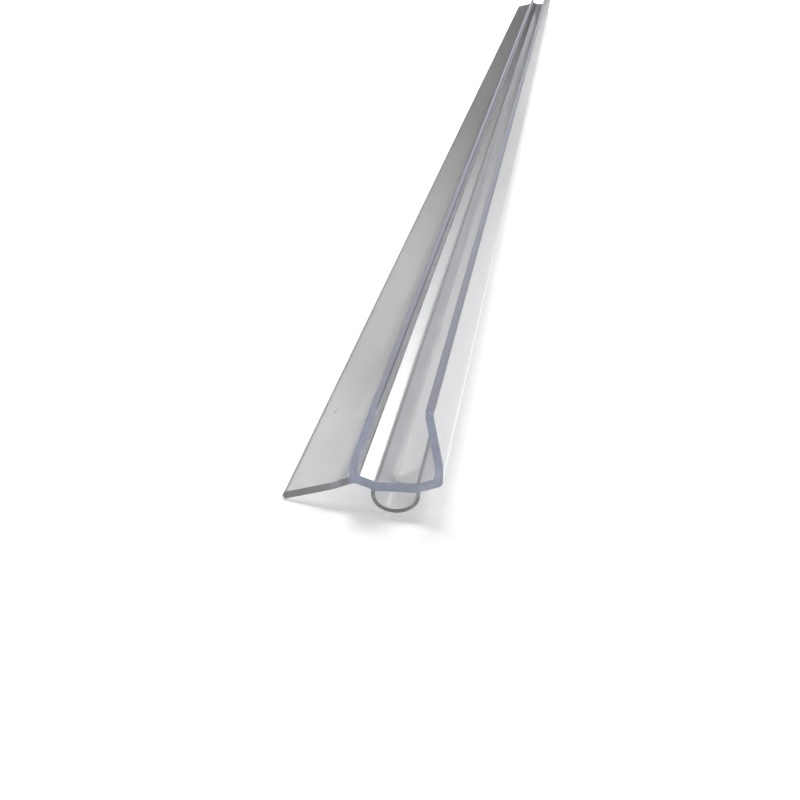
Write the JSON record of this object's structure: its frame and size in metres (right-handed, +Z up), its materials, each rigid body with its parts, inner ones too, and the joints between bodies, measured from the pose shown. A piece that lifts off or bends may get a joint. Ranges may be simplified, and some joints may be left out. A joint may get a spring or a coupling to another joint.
{
  "type": "shower door seal strip",
  "caption": "Clear extruded seal strip for a glass shower door: sprung U clip over the glass edge, slanted drip fin and hollow bubble under the base.",
  "frame": {"origin": "middle of the strip's outline, on the level floor it lies on", "axes": "+Y along the strip, +Z up from the floor, drip fin towards -X, mouth of the clip upwards"},
  "size_m": [0.0186, 1, 0.013],
  "materials": {
    "clear_pvc": "gloss"
  },
  "bodies": {
    "root": {"seal_strip": "clear_pvc"}
  },
  "joints": []
}
